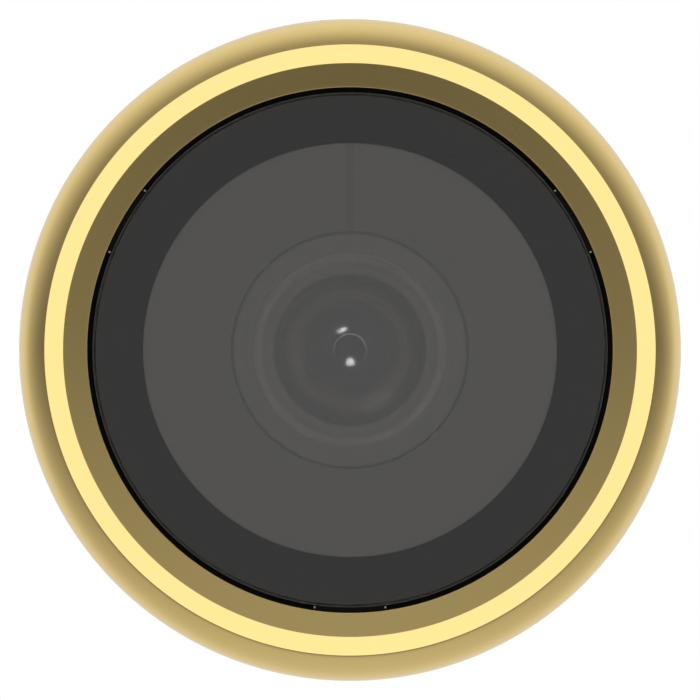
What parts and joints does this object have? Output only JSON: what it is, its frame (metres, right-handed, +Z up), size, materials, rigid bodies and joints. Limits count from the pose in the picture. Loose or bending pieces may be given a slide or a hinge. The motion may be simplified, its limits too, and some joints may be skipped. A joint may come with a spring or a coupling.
{
  "type": "peephole door camera",
  "caption": "Round gold-bezelled door camera head with a black-edged glass window and wide-angle lens, on a threaded barrel that a nut clamps through the door.",
  "frame": {"origin": "centre of the barrel where it meets the door's outer face, which is the back face of the door gasket", "axes": "the camera looks along -Y, the barrel runs into the door along +Y, and +Z is up on the door"},
  "size_m": [0.056, 0.0978, 0.056],
  "materials": {
    "gold_metal": "satin gold-tone plating",
    "barrel_brass": "turned and plated",
    "zinc_steel": "zinc plated",
    "clear_glass": "polished and coated",
    "filter_glass": "coated",
    "black_tape": "black film",
    "black_plastic": "moulded",
    "lens_black": "black anodised",
    "rubber": "moulded",
    "circuit_board": "solder mask",
    "chip_black": "moulded",
    "part_metal": "tinned",
    "header_plastic": "moulded",
    "pin_gold": "gold flashed"
  },
  "bodies": {
    "head": {"bezel": "gold_metal", "window_glass": "clear_glass", "window_tape": "black_tape", "camera_housing": "black_plastic", "lens_baffle": "lens_black", "lens_holder": "black_plastic", "holder_screws": "zinc_steel", "infrared_filter": "filter_glass", "image_sensor": "chip_black", "camera_board": "circuit_board", "board_chips": "chip_black", "board_parts": "part_metal", "lead_header": "header_plastic", "board_screws": "zinc_steel", "cover_seal": "rubber", "rear_cover": "black_plastic", "cover_screws": "zinc_steel", "bezel_grub_screw": "zinc_steel", "barrel": "barrel_brass", "barrel_screws": "zinc_steel", "door_gasket": "rubber", "inner_lead": "rubber", "lead_grommet": "rubber", "tail_socket": "black_plastic", "socket_pins": "pin_gold"},
    "lens": {"lens_front_ring": "lens_black", "front_lens": "clear_glass", "lens_barrel": "lens_black", "second_lens": "clear_glass", "lens_spacer": "lens_black", "aperture_stop": "lens_black", "rear_lens": "clear_glass", "rear_lens_ring": "lens_black"},
    "lock_ring": {"lens_lock_ring": "zinc_steel"},
    "clamp": {"inner_gasket": "rubber", "clamp_washer": "zinc_steel"},
    "nut": {"clamp_nut": "barrel_brass"}
  },
  "joints": [
    {"name": "lens_focus", "type": "hinge", "parent": "head", "child": "lens", "pos_m": [0, -0.012, 0], "axis": [0, -1, 0], "range_deg": [-180, 180]},
    {"name": "lock_ring_turn", "type": "hinge", "parent": "head", "child": "lock_ring", "pos_m": [0, -0.0128, 0], "axis": [0, -1, 0], "range_deg": [0, 60]},
    {"name": "clamp_slide", "type": "slide", "parent": "head", "child": "clamp", "axis": [0, 1, 0], "range_m": [-0.01, 0.011]},
    {"name": "clamp_turn", "type": "hinge", "parent": "clamp", "child": "nut", "pos_m": [0, 0.0481, 0], "axis": [0, 1, 0], "range_deg": [-2400, 2640]}
  ],
  "couplings": [
    {"joint": "clamp_slide", "follows": "clamp_turn", "m_per_rad": 0.00023873}
  ]
}
